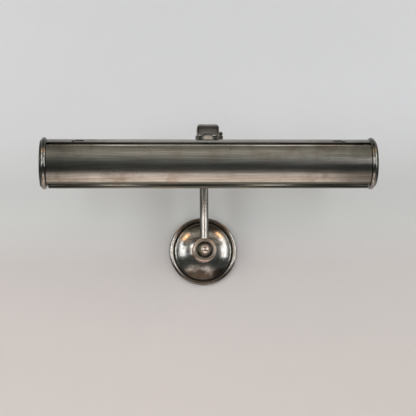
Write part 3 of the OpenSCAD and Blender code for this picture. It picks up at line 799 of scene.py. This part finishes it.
def finish_hood():
    """The hood's web behind the pivot has a pale matt finish, painted light against the shade under
    the hood, and the front edges of its cheeks are black.
    """
    hood = nodes["knuckle_hood"]
    hood.data.materials.append(web_painted_light)
    hood.data.materials.append(black_tarnish_and_shade)
    for face in hood.data.polygons:
        if face.normal.y >= LOOKS_FRONT:
            continue
        spot = hood.matrix_world @ face.center
        if spot.y > PIVOT.y:
            face.material_index = 1
        elif spot.z < PIVOT.z + CHEEK_TOP:
            face.material_index = 2


# Stage, light and camera

# The wall stands just behind the part, open behind the rose by this much less than its radius
WALL_BACK = 0.2 * MM
WALL_HALF = 3.0
HOLE_IN = 5.0 * MM
# Painted light on the wall by height, from below the light to above it: warm low down, cool higher
# up
WALL_LOW, WALL_HIGH = -0.15, 0.15
WALL_PAINTED_LIGHT = (
    (0.00, (0.695, 0.648, 0.625)), (0.45, (0.665, 0.635, 0.628)),
    (0.62, (0.70, 0.722, 0.72)), (1.00, (0.72, 0.74, 0.77)),
)


def wall_paint_and_painted_light():
    """Matt, faintly mottled paint, tinted by height with painted light, that is seen from its front
    alone.
    """
    m = Finish("wall_paint_and_painted_light")
    even = m.coords(EVEN)
    height = m.add("ShaderNodeMapRange", From_Min=WALL_LOW, From_Max=WALL_HIGH)
    m.link(m.along(even, "Z"), height.inputs["Value"])
    mottle = m.ramp(m.noise(even, WALL_MOTTLE), (0.3, (0.985,)), (0.7, (1.0,)))
    tone = m.mix(1.0, m.ramp(height.outputs["Result"], *WALL_PAINTED_LIGHT), mottle, "MULTIPLY")
    m.link(tone, m.shader.inputs["Base Color"])
    m.shader.inputs["Roughness"].default_value = 0.9
    clear = m.add("ShaderNodeBsdfTransparent")
    side = m.add("ShaderNodeNewGeometry")
    pick = m.add("ShaderNodeMixShader")
    m.link(side.outputs["Backfacing"], pick.inputs["Fac"])
    m.link(m.shader.outputs["BSDF"], pick.inputs[1])
    m.link(clear.outputs["BSDF"], pick.inputs[2])
    m.link(pick.outputs["Shader"], m.output.inputs["Surface"])
    return m.material


def stage():
    """The wall, left open behind the rose so that light reaches the back plate."""
    sides = 64
    hole = ROSE_R - HOLE_IN
    bm = bmesh.new()
    inner, outer = [], []
    for i in range(sides):
        a = 2 * math.pi * i / sides
        x, z = math.cos(a), math.sin(a)
        reach = WALL_HALF / max(abs(x), abs(z))
        inner.append(bm.verts.new((hole * x, WALL_BACK, hole * z)))
        outer.append(bm.verts.new((reach * x, WALL_BACK, reach * z)))
    for i in range(sides):
        j = (i + 1) % sides
        bm.faces.new((inner[i], outer[i], outer[j], inner[j]))
    make_object("wall", bm, (wall_paint_and_painted_light(),))


WHITE = (1, 1, 1)
COOL = (0.92, 0.96, 1.0)
WARM = (1.0, 0.52, 0.22)
LIGHT_AIM = Vector((0, -0.06, 0.03))
# Strips of light below the part: their middle along the wall, height and width
LOW_X, LOW_Z = -0.10, -0.46
LOW_WIDTH = 0.66
# Brightness of the surroundings by the height of the direction, from straight down to straight up
SURROUNDINGS = (
    (0.00, (0.50, 0.42, 0.37)), (0.12, (0.30, 0.27, 0.25)), (0.20, (0.065, 0.07, 0.07)),
    (0.35, (0.048, 0.057, 0.055)), (0.52, (0.11, 0.115, 0.115)), (0.66, (0.25, 0.255, 0.24)),
    (0.84, (0.53, 0.51, 0.45)), (1.00, (0.24, 0.235, 0.20)),
)


def panel_light(name, size, radiance, colour, place, turn, mirrored=True):
    """A panel that the camera doesn't see, mirrored in metal or not, by its brightness."""
    data = bpy.data.lights.new(name, "AREA")
    data.shape = "RECTANGLE"
    data.size, data.size_y = size
    data.energy = radiance * math.pi * size[0] * size[1]
    data.color = colour
    lamp = bpy.data.objects.new(name, data)
    lamp.location = place
    lamp.rotation_euler = turn
    lamp.visible_camera = False
    lamp.visible_glossy = mirrored
    bpy.context.scene.collection.objects.link(lamp)


def front_light(name, azimuth, elevation, distance, size, radiance, colour=WHITE, mirrored=True,
                roll=0):
    """A panel in front of the wall, by its direction from the part, rolled about that direction."""
    a, e = math.radians(azimuth), math.radians(elevation)
    ahead = Vector((math.sin(a) * math.cos(e), -math.cos(a) * math.cos(e), math.sin(e)))
    place = LIGHT_AIM + distance * ahead
    facing = (-ahead).to_track_quat("-Z", "Y").to_matrix()
    turn = facing @ Matrix.Rotation(math.radians(roll), 3, "Z")
    panel_light(name, size, radiance, colour, place, turn.to_euler(), mirrored)


def low_light(name, front, back, radiance, colour):
    """A warm strip close below, between two distances, that lights the wall and the undersides."""
    place = (LOW_X, (front + back) / 2, LOW_Z)
    panel_light(name, (LOW_WIDTH, back - front), radiance, colour, place, (math.pi, 0, 0))


def lights():
    front_light("room_left", -55, 4, 1.8, (0.60, 1.3), 3.88, mirrored=False)
    front_light("room_right", 60, 4, 1.8, (0.62, 2.0), 2.35, mirrored=False)
    front_light("side_left", -60, 9, 1.8, (0.60, 1.2), 2.4, COOL)
    front_light("side_right", 66, 11, 1.8, (0.62, 1.5), 2.6, COOL)
    front_light("front_left", -28, 8, 1.9, (0.36, 0.9), 3.8)
    front_light("front_right", 25, 8, 1.9, (0.36, 0.9), 3.8)
    front_light("warm_left", -61, 40, 1.8, (0.60, 0.14), 6.5, WARM, roll=68)
    front_light("warm_right", 68, 43, 1.8, (0.60, 0.14), 6.5, WARM, roll=-68)
    low_light("low_front", -0.51, -0.30, 0.60, (1.0, 0.93, 0.90))
    low_light("low_back", -0.30, -0.10, 0.58, (1.0, 0.83, 0.74))
    low_light("low_edge", -0.10, -0.002, 1.0, (1.0, 0.86, 0.78))


def surroundings():
    """The world: a soft gradient by the height of the direction."""
    world = bpy.data.worlds.new("surroundings")
    n = Nodes(world)
    coords = n.add("ShaderNodeTexCoord")
    height = n.add("ShaderNodeMapRange", From_Min=-1.0)
    n.link(n.along(coords.outputs["Generated"], "Z"), height.inputs["Value"])
    colour = n.ramp(height.outputs["Result"], *SURROUNDINGS)
    n.link(colour, n.tree.nodes["Background"].inputs["Color"])
    bpy.context.scene.world = world


def camera():
    data = bpy.data.cameras.new("camera")
    data.sensor_width = SENSOR
    data.lens = CAM_FOCAL_PX / PHOTO_SIDE * SENSOR
    cam = bpy.data.objects.new("camera", data)
    level = Euler((math.pi / 2 + CAM_PITCH, 0, -CAM_YAW)).to_matrix().to_4x4()
    cam.matrix_world = Matrix.Translation(CAM_AT) @ level @ Matrix.Rotation(CAM_ROLL, 4, "Z")
    bpy.context.scene.collection.objects.link(cam)
    bpy.context.scene.camera = cam


camera()
stage()
lights()
surroundings()
front_shade()
shade_spine()
end_caps()
rose()
boss()
ball_finial()
arm_tube()
finish_kept_nodes()
finish_hood()
bpy.context.scene.view_settings.view_transform = "Standard"
